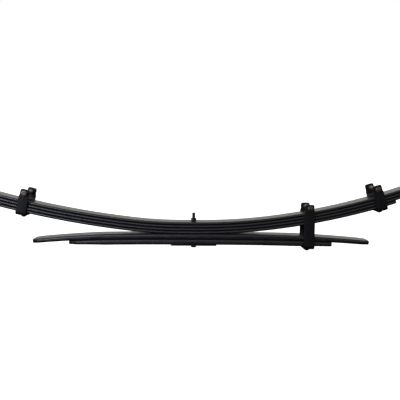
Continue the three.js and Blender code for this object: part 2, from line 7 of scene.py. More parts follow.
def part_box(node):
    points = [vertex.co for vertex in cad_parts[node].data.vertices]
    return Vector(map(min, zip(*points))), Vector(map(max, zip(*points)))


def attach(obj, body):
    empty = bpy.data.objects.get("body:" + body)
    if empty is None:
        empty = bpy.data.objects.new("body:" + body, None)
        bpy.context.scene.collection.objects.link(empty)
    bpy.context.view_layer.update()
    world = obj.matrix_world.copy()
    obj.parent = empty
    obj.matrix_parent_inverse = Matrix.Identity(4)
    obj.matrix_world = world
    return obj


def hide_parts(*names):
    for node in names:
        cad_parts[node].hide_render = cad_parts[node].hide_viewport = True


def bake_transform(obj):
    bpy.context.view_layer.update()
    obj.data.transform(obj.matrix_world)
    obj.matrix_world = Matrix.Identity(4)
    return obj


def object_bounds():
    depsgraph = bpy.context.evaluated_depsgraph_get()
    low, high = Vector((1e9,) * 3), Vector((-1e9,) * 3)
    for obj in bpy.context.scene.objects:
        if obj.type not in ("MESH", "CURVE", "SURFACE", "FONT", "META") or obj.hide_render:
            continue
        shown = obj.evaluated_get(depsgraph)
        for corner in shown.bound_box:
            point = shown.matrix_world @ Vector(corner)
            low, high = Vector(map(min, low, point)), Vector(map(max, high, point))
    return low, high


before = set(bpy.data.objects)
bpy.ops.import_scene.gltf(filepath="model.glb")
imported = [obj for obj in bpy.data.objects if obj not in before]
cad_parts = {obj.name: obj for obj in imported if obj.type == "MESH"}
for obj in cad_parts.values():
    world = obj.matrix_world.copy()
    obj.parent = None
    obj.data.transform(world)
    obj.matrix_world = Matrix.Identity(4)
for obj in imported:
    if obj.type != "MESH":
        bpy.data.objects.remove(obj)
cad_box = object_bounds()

# ======================================================================================
# Main pack: four leaves of hot-rolled spring steel, 60 x 7 mm, cambered while red hot and
# quenched. The top leaf's ends are rolled into eyes and the second leaf wraps under the
# front eye. Each leaf is made as two halves that meet under the centre nut.
# ======================================================================================


def follow(arcs, distance):
    """Along a chain of arcs that sets off level: a straight piece adds its length at its slope,
    an arc of radius R from slope a to slope b adds R (sin b - sin a) along and R (cos a - cos b) up.
    Returns how far along, how far up, and the slope."""
    along = np.zeros_like(distance)
    up = np.zeros_like(distance)
    slope = np.zeros_like(distance)
    start = 0.0
    for radius, length in arcs:
        run = np.clip(distance - start, 0, length)
        if radius:
            turned = slope + run / radius
            along = along + radius * (np.sin(turned) - np.sin(slope))
            up = up + radius * (np.cos(slope) - np.cos(turned))
            slope = turned
        else:
            along = along + run * np.cos(slope)
            up = up + run * np.sin(slope)
        start += length
    return along, up, slope


def bend(arcs, distance, across, offset):
    """A flat pattern bent along a chain of arcs: the point at a distance goes to the chain's own point
    there, moved square to it by the offset; across stays as it is."""
    along, up, slope = follow(arcs, distance)
    return np.stack([along - offset * np.sin(slope), across + 0 * along, up + offset * np.cos(slope)], -1)


def solid(name, grids):
    """One closed mesh in metres from grids of points in millimetres. Neighbours in a grid share a
    four-sided face, points that coincide become one, and faces that shrink to nothing are left out."""
    points, quads, start = [], [], 0
    for grid in grids:
        rows, columns = grid.shape[:2]
        index = start + np.arange(rows * columns).reshape(rows, columns)
        corner = [index[:-1, :-1], index[1:, :-1], index[1:, 1:], index[:-1, 1:]]
        quads.append(np.stack(corner, -1).reshape(-1, 4))
        points.append(grid.reshape(-1, 3))
        start += rows * columns
    points, quads = np.concatenate(points), np.concatenate(quads)
    _, first, same = np.unique(np.round(points, 4), axis=0, return_index=True, return_inverse=True)
    quads = same.reshape(-1)[quads]
    fewer = quads == np.roll(quads, -1, 1)
    whole = quads[fewer.sum(1) == 0]
    one = fewer.sum(1) == 1
    thin = quads[one][~fewer[one]].reshape(-1, 3)
    whole = whole[(whole[:, 0] != whole[:, 2]) & (whole[:, 1] != whole[:, 3])]
    mesh = bpy.data.meshes.new(name)
    mesh.from_pydata((points[first] / 1000).tolist(), [], whole.tolist() + thin.tolist())
    shape = bmesh.new()
    shape.from_mesh(mesh)
    bmesh.ops.recalc_face_normals(shape, faces=shape.faces)
    shape.to_mesh(mesh)
    shape.free()
    mesh.polygons.foreach_set("use_smooth", np.ones(len(mesh.polygons), bool))
    mesh.set_sharp_from_angle(angle=np.radians(38))
    piece = bpy.data.objects.new(name, mesh)
    bpy.context.scene.collection.objects.link(piece)
    return piece


HOLE, EYE_ROWS, EYE_RADIUS_MAX = 4.4, 56, 100


def half_bar(arcs, reach, half, top, under, edge, tip, cut=(0, 1), capped=True, foot=1.0):
    """One half of a bar, from the centre bolt out to its reach. Each section is a rounded rectangle:
    its corners are quarter circles of the edge radius. Rows lie closer along an eye, where the bar
    reaches one. The first rows swing back around the bolt's hole as the square root of (hole radius
    squared less across squared), the last rows draw in as a quarter circle of the tip radius, and
    cut = (across, along) takes the corners off in plan. At the tip the underside draws in by only
    foot times as much as the top. An uncapped end stays open where the other half joins it."""
    turns = np.radians(np.linspace(0, 90, 6))
    start = 3.0 * HOLE
    inner = start * np.array([0, 0.12, 0.25, 0.4, 0.6, 0.8])
    mid = np.linspace(start, reach - cut[1] - tip, max(4, int((reach - start) / 6)))
    for radius, length in arcs:
        joint = sum(run for _, run in arcs) - length
        if 0 < radius < EYE_RADIUS_MAX and reach > joint:
            mid = np.concatenate([mid[mid < joint - 3], np.linspace(joint, reach - tip, EYE_ROWS)])
    last = reach - tip + tip * np.sin(turns)
    cuts = np.array([reach - cut[1], reach - cut[1] + 0.3]) if cut[0] else np.array([reach - cut[1]])
    distance = np.unique(np.round(np.concatenate([inner, mid, cuts, last]), 5))
    beyond = np.clip(distance - reach + tip, 0, tip) / tip
    draw = tip * (1 - np.sqrt(np.clip(1 - beyond**2, 0, 1)))
    width = half - cut[0] * np.clip((distance - reach + cut[1]) / cut[1], 0, 1) - 0.9 * draw
    high, low = top(distance) - 0.9 * draw, under(distance) + 0.9 * foot * draw
    round_off = np.maximum(edge - draw, 0.05 * edge)

    hole = np.sin(np.radians(np.linspace(-90, 90, 15))) * HOLE
    flat = np.concatenate([[-1, -0.7, -0.4], hole / (half - edge), [0.4, 0.7, 1]])
    left, right = turns[1:][::-1], turns[1:]
    aside = np.concatenate([-np.ones(5), flat, np.ones(5)])
    out = np.concatenate([-np.sin(left), 0 * flat, np.sin(right)])
    above = np.concatenate([np.cos(left), 1 + 0 * flat, np.cos(right)])
    across = aside * (width - round_off)[:, None] + out * round_off[:, None]
    upper = high[:, None] - round_off[:, None] * (1 - above)
    lower = low[:, None] + round_off[:, None] * (1 - above)
    back = np.sqrt(np.clip(HOLE**2 - across**2, 0, None))
    place = distance[:, None] + back * np.clip(1 - distance[:, None] / start, 0, 1)
    faces = [bend(arcs, place, across, upper), bend(arcs, place, across, lower)]
    sides = [np.stack([faces[0][:, k], faces[1][:, k]], 1) for k in (0, -1)]
    end = np.stack([faces[0][-1], faces[1][-1]], 1)
    wall = np.stack([faces[0][0], faces[1][0]], 1)
    return faces + sides + [end, wall if capped else wall[8:23]]


def towards(side, height, grids):
    """The half's grids placed: X is side times the distance along, Z starts at the height."""
    return [grid * [side, 1, 1] + [0, 0, height] for grid in grids]


def level(value):
    """A face that keeps the same offset all the way along."""
    return lambda distance: value + 0 * distance


def colour(code):
    """An sRGB hex colour as linear RGBA: ((c + 0.055) / 1.055) to the power 2.4 above 0.04045."""
    srgb = np.array([int(code[i : i + 2], 16) for i in (1, 3, 5)]) / 255
    value = np.where(srgb > 0.04045, ((srgb + 0.055) / 1.055) ** 2.4, srgb / 12.92)
    return (*value.tolist(), 1.0)


def add(tree, kind, inputs=None, **settings):
    """Adds a node, gives it its settings, and fills or links its sockets."""
    made = tree.nodes.new(kind)
    for key, value in settings.items():
        setattr(made, key, value)
    for key, value in (inputs or {}).items():
        if isinstance(value, bpy.types.NodeSocket):
            tree.links.new(value, made.inputs[key])
        else:
            made.inputs[key].default_value = value
    return made


def finish(piece, material):
    """Gives a piece its one material."""
    piece.data.materials.clear()
    piece.data.materials.append(material)


# Black stoving enamel over blasted hot-rolled steel: sprayed, then baked at about 160 degrees C.
# It is a hard, semi-gloss skin with fine orange peel 2 mm across, the bar's rolling waviness
# underneath every 25 mm or so, a lighter, warmer grey painted on upward faces in patches, partly
# handling dust and partly a painted sheen for the light that the top faces catch, and a duller
# touch where it pulls thin. Paint is a dielectric, IOR 1.5.
enamel = bpy.data.materials.new("stoving_enamel_on_rolled_spring_steel")
enamel.use_nodes = True
tree = enamel.node_tree
tree.nodes.clear()
where = add(tree, "ShaderNodeTexCoord").outputs["Object"]
stretched = add(tree, "ShaderNodeMapping", {"Vector": where, "Scale": (0.12, 1.0, 0.6)}).outputs[0]
film = add(tree, "ShaderNodeTexNoise", {"Vector": stretched, "Scale": 90.0, "Detail": 4.0, "Roughness": 0.6})
streak = add(tree, "ShaderNodeTexNoise", {"Vector": stretched, "Scale": 420.0, "Detail": 3.0})
peel = add(tree, "ShaderNodeTexNoise", {"Vector": where, "Scale": 480.0, "Detail": 2.0})
wave = add(tree, "ShaderNodeTexNoise", {"Vector": where, "Scale": 40.0, "Detail": 2.0})
facing = add(tree, "ShaderNodeSeparateXYZ", {0: add(tree, "ShaderNodeNewGeometry").outputs["Normal"]})
# Upward faces are painted a lighter, warmer grey in patches: partly handling dust, partly a painted sheen
# standing in for the light the top faces catch.
upward = add(tree, "ShaderNodeMapRange", {
    "Value": facing.outputs["Z"], "From Min": 0.55, "From Max": 0.95, "To Min": 0.0, "To Max": 1.0,
})
patchy = add(tree, "ShaderNodeMapRange", {
    "Value": film.outputs[0], "From Min": 0.35, "From Max": 0.7, "To Min": 0.35, "To Max": 1.0,
})
dust_and_top_sheen = add(tree, "ShaderNodeMath", {0: upward.outputs[0], 1: patchy.outputs[0]}, operation="MULTIPLY")
tone = add(tree, "ShaderNodeMix", {
    "Factor": dust_and_top_sheen.outputs[0], "A": colour("#121216"), "B": colour("#2c2c28"),
}, data_type="RGBA")
gloss = add(tree, "ShaderNodeMapRange", {
    "Value": streak.outputs[0], "From Min": 0.3, "From Max": 0.7, "To Min": 0.26, "To Max": 0.4,
})
rolled = add(tree, "ShaderNodeBump", {"Height": wave.outputs[0], "Strength": 0.5, "Distance": 0.0004})
skin = add(tree, "ShaderNodeBump", {
    "Height": peel.outputs[0], "Normal": rolled.outputs[0], "Strength": 0.5, "Distance": 0.00004,
})
paint = add(tree, "ShaderNodeBsdfPrincipled", {
    "Base Color": tone.outputs[2], "Roughness": gloss.outputs[0], "Normal": skin.outputs[0], "IOR": 1.5,
})
add(tree, "ShaderNodeOutputMaterial", {"Surface": paint.outputs[0]})

LEAF_HALF, LEAF, GAP, LEAF_EDGE, LEAF_TIP = 30.0, 7.0, 0.4, 3.1, 1.5
PACK_TOP, FRONT_EYE_REACH, REAR_EYE_REACH = 58.1, 640.0, 712.0
SECOND_REAR, SECOND_WRAP = REAR_EYE_REACH - 6, np.radians(78)
THIRD_FRONT, THIRD_REAR = FRONT_EYE_REACH - 84, REAR_EYE_REACH - 100
FOURTH_FRONT, FOURTH_REAR = 473.0, 496.0
UNCUT, PACK_CUT = (0, 1), (6, 6)
FRONT_BORE, REAR_BORE, TAIL_GAP = 20.0, 17.0, 1.5
FRONT_TURN, REAR_TURN = (2 * np.pi - np.arccos((r - TAIL_GAP) / (r + LEAF)) for r in (FRONT_BORE, REAR_BORE))
FRONT_SEAT, FRONT_INNER, FRONT_OUTER = 30.0, 1100.0, 2355.0
REAR_SEAT, REAR_INNER, REAR_OUTER = 15.0, 1350.0, 1670.0
FRONT_BOW, REAR_BOW = FRONT_INNER * np.radians(6.5), REAR_INNER * np.radians(6.6)
front_arcs = [
    (0, FRONT_SEAT), (FRONT_INNER, FRONT_BOW),
    (FRONT_OUTER, FRONT_EYE_REACH - FRONT_SEAT - FRONT_BOW), (FRONT_BORE, FRONT_BORE * FRONT_TURN),
]
rear_arcs = [
    (0, REAR_SEAT), (REAR_INNER, REAR_BOW),
    (REAR_OUTER, REAR_EYE_REACH - REAR_SEAT - REAR_BOW), (REAR_BORE, REAR_BORE * REAR_TURN),
]
pack = [
    ("main_leaf", FRONT_EYE_REACH + FRONT_BORE * FRONT_TURN, REAR_EYE_REACH + REAR_BORE * REAR_TURN, UNCUT),
    ("second_leaf", FRONT_EYE_REACH + FRONT_BORE * SECOND_WRAP, SECOND_REAR, UNCUT),
    ("third_leaf", THIRD_FRONT, THIRD_REAR, PACK_CUT),
    ("fourth_leaf", FOURTH_FRONT, FOURTH_REAR, PACK_CUT),
]
for count, (name, front_reach, rear_reach, cut) in enumerate(pack):
    top, under = level(-count * (LEAF + GAP)), level(-count * (LEAF + GAP) - LEAF)
    halves = (("front", -1, front_arcs, front_reach), ("rear", 1, rear_arcs, rear_reach))
    for end, side, arcs, reach in halves:
        grids = half_bar(arcs, reach, LEAF_HALF, top, under, LEAF_EDGE, LEAF_TIP, cut)
        half_leaf = solid(f"{name}_{end}_half", towards(side, PACK_TOP, grids))
        finish(half_leaf, enamel)
        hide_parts(name)
        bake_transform(half_leaf)

# ======================================================================================
# Helper leaves: two thick, nearly straight bars under the pack, thinned towards their tips
# while hot. They come into play only when the main pack has bent down on to them.
# ======================================================================================

HELPER, REST, HELPER_JOINT = 13.0, 0.3, 15.45
HELPER_EDGE, HELPER_TIP, HELPER_FOOT = 3.6, 2.2, 0.3
HELPER_SEAT, HELPER_INNER, HELPER_INNER_RADIUS = 60.0, 140.0, 8700.0


def thinned(base, reach, length, depth):
    """A helper's face that draws in evenly towards the tip: base plus depth times the way into the
    taper over its length."""
    return lambda distance: base + depth * np.clip(distance - reach + length, 0, None) / length


# Each end: reach, length of the taper, how far the top and the underside draw in, corner cut
helpers = (
    ("upper_helper_leaf", {
        "front": (394.0, 165.0, -2.6, 0.0, (9, 14)),
        "rear": (432.0, 165.0, -2.6, 0.0, (9, 20)),
    }),
    ("lower_helper_leaf", {
        "front": (306.0, 90.0, 0.0, 4.0, (9, 22)),
        "rear": (341.0, 90.0, 0.0, 3.5, (9, 5)),
    }),
)
for name, shapes in helpers:
    underside = REST / 2 if name == "upper_helper_leaf" else -REST / 2 - HELPER
    grids = []
    for end, side, outer_radius in (("front", -1, 2430.0), ("rear", 1, 3750.0)):
        reach, length, top_draw, under_draw, cut = shapes[end]
        outer = reach - HELPER_SEAT - HELPER_INNER
        arcs = [(0, HELPER_SEAT), (-HELPER_INNER_RADIUS, HELPER_INNER), (-outer_radius, outer)]
        top = thinned(underside + HELPER, reach, length, top_draw)
        under = thinned(underside, reach, length, under_draw)
        grids += towards(side, HELPER_JOINT, half_bar(
            arcs, reach, LEAF_HALF, top, under, HELPER_EDGE, HELPER_TIP, cut, capped=False, foot=HELPER_FOOT,
        ))
    helper = solid(name + "_bar", grids)
    finish(helper, enamel)
    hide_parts(name)
    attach(helper, "seat")

# ======================================================================================
# Anti-friction buttons: turned nylon discs, 26 mm across, whose stems press through the
# second and third leaves near their tips. The leaf above slides on them without squeaking.
# ======================================================================================


def spin(rows, columns=48):
    """Rows of (radius, height) turned about the Z axis: X = r cos t, Y = r sin t. A radius may also
    be an array with one value per column, for flats or a thread. Rows at radius 0 close the ends."""
    turn = np.linspace(0, 2 * np.pi, columns + 1)
    radius = np.array([0 * turn + r for r, _ in rows])
    height = np.array([0 * turn + h for _, h in rows])
    radius[:, -1] = radius[:, 0]
    turn[-1] = 0
    return np.stack([radius * np.cos(turn), radius * np.sin(turn), height], -1)


def rounded(r0, h0, r1, h1, edge, steps=4):
    """A profile corner at (r0, h0) seen from its round's centre towards (r1, h1): a quarter circle
    whose centre is an edge radius in from both faces; r1 and h1 say which way in is."""
    t = np.radians(np.linspace(0, 90, steps))
    return [(r0 + r1 * edge * (1 - np.sin(a)), h0 + h1 * edge * (1 - np.cos(a))) for a in t]


def placed(grids, x, z, slope=0.0):
    """Grids turned by the slope in the X-Z plane and moved to a point on a leaf's line."""
    cos, sin = np.cos(slope), np.sin(slope)
    turn = np.array([[cos, 0, sin], [0, 1, 0], [-sin, 0, cos]])
    return [grid @ turn + [x, 0, z] for grid in grids]


def station(side, arcs, distance):
    """Where the main leaf's top face is at a distance from the centre bolt, and its slope there."""
    along, up, slope = (float(v[0]) for v in follow(arcs, np.array([distance])))
    return side * along, PACK_TOP + up, side * slope


# Natural polyamide 6, turned from rod: waxy, creamy, slightly see-through in feel, with fine
# turning rings 0.3 mm apart that only dull its gloss. IOR 1.53.
nylon = bpy.data.materials.new("turned_natural_polyamide")
nylon.use_nodes = True
tree = nylon.node_tree
tree.nodes.clear()
where = add(tree, "ShaderNodeTexCoord").outputs["Object"]
cloud = add(tree, "ShaderNodeTexNoise", {"Vector": where, "Scale": 160.0, "Detail": 3.0})
cream = add(tree, "ShaderNodeMix", {
    "Factor": cloud.outputs[0], "A": colour("#b9b3a0"), "B": colour("#d6d1c2"),
}, data_type="RGBA")
grain = add(tree, "ShaderNodeTexNoise", {"Vector": where, "Scale": 900.0, "Detail": 2.0})
fine = add(tree, "ShaderNodeBump", {"Height": grain.outputs[0], "Strength": 0.4, "Distance": 0.00003})
plastic = add(tree, "ShaderNodeBsdfPrincipled", {
    "Base Color": cream.outputs[2], "Roughness": 0.48, "Normal": fine.outputs[0], "IOR": 1.53,
})
add(tree, "ShaderNodeOutputMaterial", {"Surface": plastic.outputs[0]})

BUTTON, BUTTON_THICK, BUTTON_PROUD, STEM, BUTTON_BACK = 13.0, 2.0, 0.15, 5.0, 32.0
for name, side, arcs, count, reach in (
    ("friction_button_second_rear", 1, rear_arcs, 1, SECOND_REAR),
    ("friction_button_third_front", -1, front_arcs, 2, THIRD_FRONT),
    ("friction_button_third_rear", 1, rear_arcs, 2, THIRD_REAR),
):
    x, z, slope = station(side, arcs, reach - BUTTON_BACK)
    face, back = -count * (LEAF + GAP), -count * (LEAF + GAP) - LEAF
    profile = [
        (0, face + BUTTON_PROUD), *rounded(BUTTON, face + BUTTON_PROUD, -1, -1, 0.6),
        (BUTTON, face - BUTTON_THICK), (STEM, face - BUTTON_THICK), (STEM, back + 0.4), (STEM - 0.5, back),
        (0, back),
    ]
    button = solid(name + "_disc", placed([spin(profile)], x, z, slope))
    finish(button, nylon)
    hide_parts(name)
    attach(button, "front_arm" if side < 0 else "rear_arm")

# ======================================================================================
# Seat plate: a flat pad cut from 60 x 2 mm strip, black enamelled, that spreads the
# axle's load under the lower helper. Its counterbore takes the centre bolt's round head.
# ======================================================================================


def turned_ring(profile, columns=48):
    """A closed half-section turned about the Z axis, so the last corner runs back to the first."""
    return spin([*profile, profile[0]], columns)


def pressed_strip(arcs, half, reach, thick, edge, crown, power, shoulder=None, ear=None):
    """A flat blank with a rolled rim, bent along a chain of arcs both ways from its middle. The
    blank's half-width is constant, may step in at the shoulder to the ear, and ends in a crown:
    |across / ear| to the power plus |beyond / crown| to the power is 1. The rim is a half round
    of the edge radius, set in along the outline's own normal."""
    ear = half if ear is None else ear
    t = np.radians(np.linspace(90, 0, 19))
    last = reach - crown + crown * np.sin(t) ** (2 / power)
    narrow = ear * np.cos(t) ** (2 / power)
    narrow[0] = 0
    body = np.linspace(reach - crown, 0, 60)[1:]
    wide = np.full_like(body, float(ear))
    if shoulder is not None:
        wide = np.interp(body, [shoulder, shoulder + 5], [half, ear])
    one = np.concatenate([last, body])
    across_one = np.concatenate([narrow, wide])
    place = np.concatenate([-one, one[::-1][1:]])
    across = np.concatenate([across_one, across_one[::-1][1:]])
    run, rise = np.gradient(place), np.gradient(across)
    long = np.hypot(run, rise)
    normal = np.stack([-rise / long, run / long], -1)
    normal[0], normal[-1] = (-1, 0), (1, 0)
    angle = np.radians([90, 67, 45, 22, 0, 0, -22, -45, -67, -90])
    inset = edge * (1 - np.cos(angle))
    offset = np.repeat([1, -1], 5) * (thick / 2 - edge) + edge * np.sin(angle)
    along = place[:, None] - normal[:, :1] * inset
    aside = np.clip(across[:, None] - normal[:, 1:] * inset, 0, None)
    aside[[0, -1]] = 0
    loop_along = np.concatenate([along, along[:, ::-1], along[:, :1]], 1)
    loop_aside = np.concatenate([aside, -aside[:, ::-1], aside[:, :1]], 1)
    loop_offset = np.concatenate([offset, offset[::-1], offset[:1]]) + 0 * loop_along
    shape = bend(arcs, np.abs(loop_along), loop_aside, loop_offset)
    side = np.where(loop_along < 0, -1.0, 1.0)
    return np.stack([shape[..., 1], side * shape[..., 0], shape[..., 2]], -1)


PLATE_THICK, PLATE_HALF_LENGTH, PLATE_EDGE = 2.0, 56.0, 0.6
blank = pressed_strip([(0, 200.0)], PLATE_HALF_LENGTH, LEAF_HALF, PLATE_THICK, PLATE_EDGE, 1.0, 6.0)
plate = solid("seat_pad", [blank + [0, 0, PLATE_THICK / 2]])
finish(plate, enamel)
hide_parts("seat_plate")
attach(plate, "seat")

# ======================================================================================
# Centre bolt and nut: an M8 x 1.25 bolt, its round head locating in the axle's perch, and
# a 13 mm nut. Cold-forged, thread-rolled and black phosphated.
# ======================================================================================

# Black manganese phosphate, oiled: a matt crystalline coat 10 micrometres thick, near black, with
# patches a few millimetres across where the oil has dried greyer. The coat is not a metal.
phosphate = bpy.data.materials.new("oiled_black_phosphate")
phosphate.use_nodes = True
tree = phosphate.node_tree
tree.nodes.clear()
where = add(tree, "ShaderNodeTexCoord").outputs["Object"]
dried = add(tree, "ShaderNodeTexNoise", {"Vector": where, "Scale": 220.0, "Detail": 4.0})
coat = add(tree, "ShaderNodeMix", {
    "Factor": dried.outputs[0], "A": colour("#0b0b0c"), "B": colour("#1c1c1e"),
}, data_type="RGBA")
oiled = add(tree, "ShaderNodeMapRange", {
    "Value": dried.outputs[0], "From Min": 0.3, "From Max": 0.7, "To Min": 0.45, "To Max": 0.7,
})
crystals = add(tree, "ShaderNodeTexNoise", {"Vector": where, "Scale": 1600.0, "Detail": 2.0})
rough = add(tree, "ShaderNodeBump", {"Height": crystals.outputs[0], "Strength": 0.5, "Distance": 0.00003})
black = add(tree, "ShaderNodeBsdfPrincipled", {
    "Base Color": coat.outputs[2], "Roughness": oiled.outputs[0], "Normal": rough.outputs[0], "IOR": 1.6,
    "Specular IOR Level": 0.2,
})
add(tree, "ShaderNodeOutputMaterial", {"Surface": black.outputs[0]})

THREAD, PITCH = 4.0, 1.25
FLATS = 13.0


def threaded(low, high, columns=36):
    """Rows of a rolled M8 thread between two heights: the radius falls by up to 0.6 mm as a 60 degree
    V whose phase is height over pitch less one turn per turn, and the end is chamfered by 1 mm."""
    turn = np.linspace(0, 1, columns + 1)
    heights = np.linspace(low, high, int((high - low) / PITCH * 8))
    rows = []
    for height in heights:
        phase = np.abs(2 * np.mod(height / PITCH - turn, 1) - 1)
        crest = THREAD - 0.62 * np.clip(1.15 * phase - 0.1, 0, 1)
        rows.append((np.minimum(crest, THREAD - 1 + (high - height)), height))
    return rows


def hexagon(columns=72):
    """The radius of a hexagon of the wrench size at each turn: half the size over the cosine of the
    angle from the nearest flat's middle."""
    turn = np.linspace(0, 2 * np.pi, columns + 1)
    return FLATS / 2 / np.cos(np.mod(turn + np.pi / 6, np.pi / 3) - np.pi / 6)


def hex_rows(low, high, chamfer_low=True, chamfer_high=True):
    """The sides of a hexagon head or nut, its corners cut by a 30 degree cone at each end."""
    steps = np.array([0, 0.12, 0.25, 0.4, 0.55, 0.78])
    rows = []
    for depth in steps:
        cone = 0.475 * FLATS + (depth if chamfer_low else 9) * 1.732
        rows.append((np.minimum(hexagon(), cone), low + depth))
    for depth in steps[::-1]:
        cone = 0.475 * FLATS + (depth if chamfer_high else 9) * 1.732
        rows.append((np.minimum(hexagon(), cone), high - depth))
    return rows


def nut(low, high):
    """A hexagon nut: chamfered sides, flat faces, and a hole countersunk at both ends."""
    hole = THREAD + 0.15
    return turned_ring([
        (hole + 0.5, low), *hex_rows(low, high), (hole + 0.5, high), (hole, high - 0.5), (hole, low + 0.5),
    ], 72)


bolt_low, bolt_high = (1000 * corner.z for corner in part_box("centre_bolt"))
nut_low, nut_high = (1000 * corner.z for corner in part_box("centre_nut"))
HEAD, HEAD_TOP, PLAIN_SHANK = 7.0, 0.7, 48.0
rows = [
    (0, bolt_low), *rounded(HEAD, bolt_low, -1, 1, 0.6)[::-1],
    (HEAD, HEAD_TOP - 0.3), (HEAD - 0.3, HEAD_TOP), (THREAD, HEAD_TOP), (THREAD, PLAIN_SHANK),
    *threaded(PLAIN_SHANK + 0.5, bolt_high), (0, bolt_high),
]
centre_bolt = solid("centre_bolt_rolled", [spin(rows, 36)])
centre_nut = solid("centre_nut_forged", [nut(nut_low, nut_high)])
for fastener, node in ((centre_bolt, "centre_bolt"), (centre_nut, "centre_nut")):
    finish(fastener, phosphate)
    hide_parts(node)
    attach(fastener, "seat")

# ======================================================================================
# Eye bushes and crush tubes: two moulded polyurethane halves in each eye, flanged against
# the leaf's edges, around a turned steel tube that the hanger or shackle bolt clamps.
# ======================================================================================

# Black cast polyurethane: a soft sheen skin from a satin mould with faint flow clouding.
urethane = bpy.data.materials.new("moulded_black_polyurethane")
urethane.use_nodes = True
tree = urethane.node_tree
tree.nodes.clear()
where = add(tree, "ShaderNodeTexCoord").outputs["Object"]
flow = add(tree, "ShaderNodeTexNoise", {"Vector": where, "Scale": 70.0, "Detail": 4.0})
shade = add(tree, "ShaderNodeMix", {
    "Factor": flow.outputs[0], "A": colour("#101012"), "B": colour("#242427"),
}, data_type="RGBA")
worn = add(tree, "ShaderNodeMapRange", {"Value": flow.outputs[0], "To Min": 0.5, "To Max": 0.72})
stipple = add(tree, "ShaderNodeTexVoronoi", {"Vector": where, "Scale": 1100.0})
satin = add(tree, "ShaderNodeBump", {"Height": stipple.outputs[0], "Strength": 0.35, "Distance": 0.00004})
soft = add(tree, "ShaderNodeBsdfPrincipled", {
    "Base Color": shade.outputs[2], "Roughness": worn.outputs[0], "Normal": satin.outputs[0], "IOR": 1.5,
})
add(tree, "ShaderNodeOutputMaterial", {"Surface": soft.outputs[0]})

# Cold-drawn steel tube, faced and turned, clear zinc plated: cool grey with tool rings
# 0.25 mm apart, drawn here at 0.5 mm so that they show.
tube_zinc = bpy.data.materials.new("clear_zinc_on_turned_tube")
tube_zinc.use_nodes = True
tree = tube_zinc.node_tree
tree.nodes.clear()
where = add(tree, "ShaderNodeTexCoord").outputs["Object"]
rings = add(tree, "ShaderNodeTexWave", {
    "Vector": where, "Scale": 314.0, "Distortion": 0.4,
}, bands_direction="Y")
bloom = add(tree, "ShaderNodeTexNoise", {"Vector": where, "Scale": 120.0, "Detail": 3.0})
grey = add(tree, "ShaderNodeMix", {
    "Factor": bloom.outputs[0], "A": colour("#8b8c8e"), "B": colour("#b3b4b3"),
}, data_type="RGBA")
tooled = add(tree, "ShaderNodeBump", {"Height": rings.outputs[0], "Strength": 0.3, "Distance": 0.00003})
steel = add(tree, "ShaderNodeBsdfPrincipled", {
    "Base Color": grey.outputs[2], "Metallic": 1.0, "Roughness": 0.34, "Normal": tooled.outputs[0],
})
add(tree, "ShaderNodeOutputMaterial", {"Surface": steel.outputs[0]})


def on_cross_axis(grid, x, z, side=1):
    """A piece turned about Z laid on the Y axis, its height running to side times Y."""
    return np.stack([grid[..., 0] + x, side * grid[..., 2], grid[..., 1] + z], -1)


FLANGE_FROM, FLANGE_TO = 30.3, 35.3
eyes = (("front", FRONT_BORE, 8.0, 12.5), ("rear", REAR_BORE, 7.0, 11.0))
for end, bore, tube_bore, tube_wall in eyes:
    low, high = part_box(f"{end}_crush_tube")
    x, z = 500 * (low.x + high.x), 500 * (low.z + high.z)
    half_tube = 1000 * high.y
    inner, barrel, flange = tube_wall + 0.3, bore - 0.3, bore + LEAF - 1.5
    profile = [
        (inner, 0.15), (barrel - 0.8, 0.15), (barrel, 0.95), (barrel, FLANGE_FROM - 0.6),
        (barrel + 0.6, FLANGE_FROM), *rounded(flange, FLANGE_FROM, -1, 1, 1.0)[::-1],
        *rounded(flange, FLANGE_TO, -1, -1, 1.4), (inner + 3.2, FLANGE_TO), (inner + 2.6, FLANGE_TO - 0.5),
        (inner + 1.6, FLANGE_TO - 0.5), (inner + 1.0, FLANGE_TO), (inner + 0.5, FLANGE_TO),
        (inner, FLANGE_TO - 0.5),
    ]
    for half_name, side in (("near", -1), ("far", 1)):
        bush = solid(f"{end}_bush_{half_name}_moulded", [on_cross_axis(turned_ring(profile, 64), x, z, side)])
        finish(bush, urethane)
        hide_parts(f"{end}_bush_{half_name}")
        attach(bush, f"{end}_arm")
    ends = [
        (tube_bore, half_tube - 0.6), (tube_bore + 0.6, half_tube),
        (tube_wall - 0.7, half_tube), (tube_wall, half_tube - 0.7),
    ]
    outline = [*ends, *[(radius, -height) for radius, height in ends[::-1]]]
    tube = solid(f"{end}_tube_turned", [on_cross_axis(turned_ring(outline, 64), x, z)])
    finish(tube, tube_zinc)
    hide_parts(f"{end}_crush_tube")
    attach(tube, f"{end}_tube")

# ======================================================================================
# Rebound clips: straps blanked from 5 mm mild steel, bent up around the leaves, riveted
# underneath and closed over the main leaf by an M8 bolt through a spacer tube. The outer
# two hold the main pack with a liner inside; the long one also holds both helpers.
# ======================================================================================

# Zinc plate that has dulled: grey with a brown cast from handling, cloudy every few
# millimetres and slightly pitted. A metal, so default IOR.
zinc = bpy.data.materials.new("dulled_zinc_plate")
zinc.use_nodes = True
tree = zinc.node_tree
tree.nodes.clear()
where = add(tree, "ShaderNodeTexCoord").outputs["Object"]
cloud = add(tree, "ShaderNodeTexNoise", {"Vector": where, "Scale": 260.0, "Detail": 3.0, "Distortion": 0.6})
tint = add(tree, "ShaderNodeValToRGB", {0: cloud.outputs[0]})
stops = tint.color_ramp.elements
stops[0].position, stops[0].color = 0.3, colour("#48423d")
stops[1].position, stops[1].color = 0.72, colour("#7d746a")
middle = stops.new(0.5)
middle.color = colour("#625a51")
smear = add(tree, "ShaderNodeMapRange", {
    "Value": cloud.outputs[0], "From Min": 0.3, "From Max": 0.7, "To Min": 0.32, "To Max": 0.52,
})
grit = add(tree, "ShaderNodeTexNoise", {"Vector": where, "Scale": 1500.0, "Detail": 2.0})
pitted = add(tree, "ShaderNodeBump", {"Height": grit.outputs[0], "Strength": 0.4, "Distance": 0.00003})
